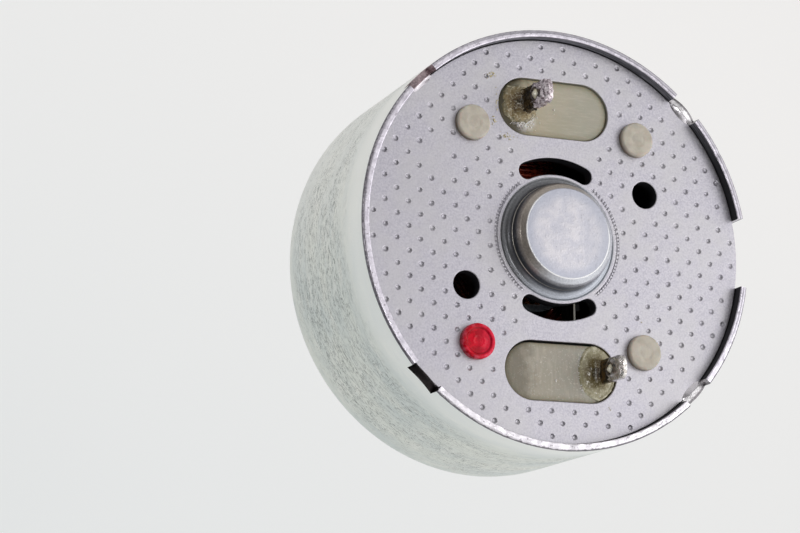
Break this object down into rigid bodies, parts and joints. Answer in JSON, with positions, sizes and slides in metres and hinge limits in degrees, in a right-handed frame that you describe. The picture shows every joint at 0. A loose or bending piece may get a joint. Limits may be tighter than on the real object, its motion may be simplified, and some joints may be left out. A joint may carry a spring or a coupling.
{
  "type": "can-type vibration motor",
  "caption": "Short brushed DC motor in a drawn steel can, with a dimpled end plate, upright solder tabs and an eccentric weight on its shaft.",
  "frame": {"origin": "on the shaft's axis at half the can's length", "axes": "+Z along the shaft's axis out of the rear end that carries the solder tabs, +X towards the wide notch in the can's rim"},
  "size_m": [0.0244, 0.0244, 0.0205],
  "materials": {
    "zinc_plated_steel": "dull zinc plate, faintly mottled",
    "plate_steel": "matt, finely dimpled",
    "sintered_bronze": "porous, oiled",
    "base_nylon": "natural nylon, slightly translucent",
    "red_lacquer": "glossy",
    "ferrite": "ground, dark grey",
    "spring_steel": "blued",
    "tinned_brass": "dull tin plate",
    "solder": "old solder, part bright and part dull",
    "brush_alloy": "bright spring leaf",
    "damper_rubber": "matt",
    "shaft_steel": "ground",
    "core_steel": "punched edges",
    "insulator_plastic": "moulded",
    "enamelled_copper": "red-brown enamel",
    "hub_plastic": "black phenolic",
    "commutator_copper": "polished track",
    "varistor_ceramic": "fired, dark grey",
    "fresh_solder": "bright",
    "washer_film": "polyester film",
    "spacer_brass": "turned",
    "sintered_tungsten": "pressed and sintered, grey"
  },
  "bodies": {
    "stator": {"brush_base": "base_nylon", "brush_damper_left": "damper_rubber", "brush_damper_right": "damper_rubber", "brush_left": "brush_alloy", "brush_right": "brush_alloy", "can": "zinc_plated_steel", "end_plate": "plate_steel", "front_bearing": "sintered_bronze", "magnet_left": "ferrite", "magnet_right": "ferrite", "magnet_spring_bottom": "spring_steel", "magnet_spring_top": "spring_steel", "polarity_mark": "red_lacquer", "rear_bearing": "sintered_bronze", "solder_negative": "solder", "solder_positive": "solder", "terminal_negative": "tinned_brass", "terminal_positive": "tinned_brass", "thrust_pad": "washer_film"},
    "rotor": {"commutator_collar": "hub_plastic", "commutator_hub": "hub_plastic", "commutator_segment_1": "commutator_copper", "commutator_segment_2": "commutator_copper", "commutator_segment_3": "commutator_copper", "eccentric_weight": "sintered_tungsten", "insulator_front": "insulator_plastic", "insulator_rear": "insulator_plastic", "laminations": "core_steel", "riser_solder": "fresh_solder", "shaft": "shaft_steel", "spacer_front": "spacer_brass", "varistor": "varistor_ceramic", "washer_front": "washer_film", "washer_rear": "washer_film", "winding_1": "enamelled_copper", "winding_2": "enamelled_copper", "winding_3": "enamelled_copper"}
  },
  "joints": [
    {"name": "rotor_spin", "type": "hinge", "parent": "stator", "child": "rotor", "pos_m": [0, 0, 0], "axis": [0, 0, 1], "continuous": true}
  ]
}
